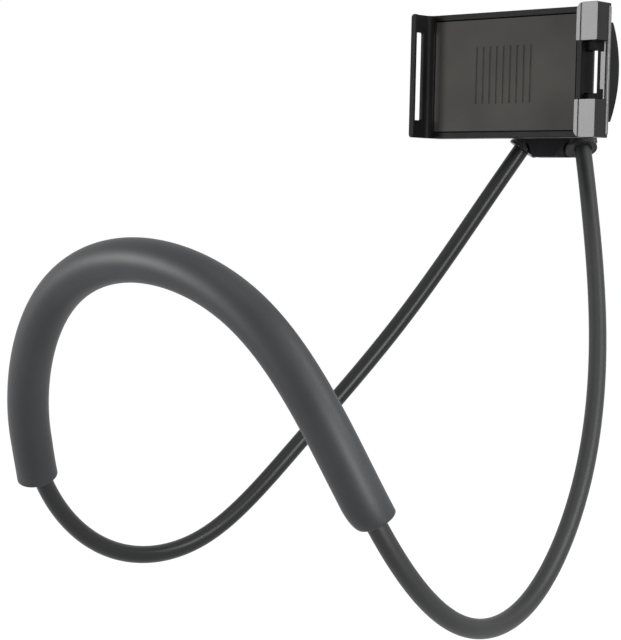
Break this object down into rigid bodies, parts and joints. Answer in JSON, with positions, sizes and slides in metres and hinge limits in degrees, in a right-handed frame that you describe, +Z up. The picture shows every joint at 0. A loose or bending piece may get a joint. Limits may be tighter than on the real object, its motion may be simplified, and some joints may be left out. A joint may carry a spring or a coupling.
{
  "type": "neck phone holder",
  "caption": "Hands-free phone holder worn on the neck: a bendable loop with a foam sleeve carries a hub, a lockable ball joint and a sprung cradle that grips a phone by its ends.",
  "frame": {"origin": "the point of the foam sleeve, at its middle, that rests against the back of the neck", "axes": "+Y from the neck forward to the phone, +Z up, +X to the side on which the sliding jaw is; the phone's screen faces the wearer, towards -Y"},
  "size_m": [0.2657, 0.3747, 0.3279],
  "materials": {
    "foam": "matte closed-cell foam",
    "sheath": "satin soft sheath",
    "core_wire": "drawn wire",
    "ferrule_metal": "turned",
    "collar_plastic": "gloss",
    "hub_gloss": "gloss",
    "screw_steel": "zinc plated",
    "ball_plastic": "polished",
    "cup_nylon": "satin",
    "joint_plastic": "satin",
    "tray_plastic": "semi-gloss",
    "grip_rubber": "matte",
    "cover_plastic": "satin",
    "slider_plastic": "matte",
    "jaw_gloss": "gloss",
    "spring_steel": "bright wire"
  },
  "bodies": {
    "neck_frame": {"neck_pad": "foam", "gooseneck_sheath": "sheath", "gooseneck_core": "core_wire", "ferrule_left": "ferrule_metal", "ferrule_right": "ferrule_metal", "collar_left": "collar_plastic", "collar_right": "collar_plastic", "hub_front_shell": "hub_gloss", "hub_rear_shell": "hub_gloss", "hub_screw": "screw_steel"},
    "ball": {"ball_stud": "ball_plastic", "stud_nut": "screw_steel"},
    "cup": {"ball_cup": "cup_nylon"},
    "cradle": {"ball_socket": "joint_plastic", "socket_screws": "screw_steel", "tray_body": "tray_plastic", "grip_pad": "grip_rubber", "back_cover": "cover_plastic", "cover_screws": "screw_steel", "spring_upper": "spring_steel", "spring_lower": "spring_steel", "spring_posts": "spring_steel"},
    "lock_nut": {"lock_nut": "joint_plastic"},
    "slider": {"slider_yoke": "slider_plastic", "sliding_jaw": "jaw_gloss", "jaw_screws": "screw_steel", "spring_pegs": "spring_steel"}
  },
  "joints": [
    {"name": "ball_swivel", "type": "hinge", "parent": "neck_frame", "child": "ball", "pos_m": [0, 0.31669, 0.10801], "axis": [0, -0.9135, 0.4067], "continuous": true},
    {"name": "cradle_tilt", "type": "hinge", "parent": "ball", "child": "cup", "pos_m": [0, 0.31669, 0.10801], "axis": [1, 0, 0], "range_deg": [-58, 10]},
    {"name": "cradle_turn", "type": "hinge", "parent": "cup", "child": "cradle", "pos_m": [0, 0.31669, 0.10801], "axis": [0, -1, 0], "continuous": true},
    {"name": "nut_turn", "type": "hinge", "parent": "cradle", "child": "lock_nut", "pos_m": [0, 0.31669, 0.10801], "axis": [0, 1, 0], "range_deg": [0, 90]},
    {"name": "jaw_slide", "type": "slide", "parent": "cradle", "child": "slider", "axis": [1, 0, 0], "range_m": [0, 0.065], "stiffness_N_per_m": 80, "springref_m": -0.1}
  ]
}
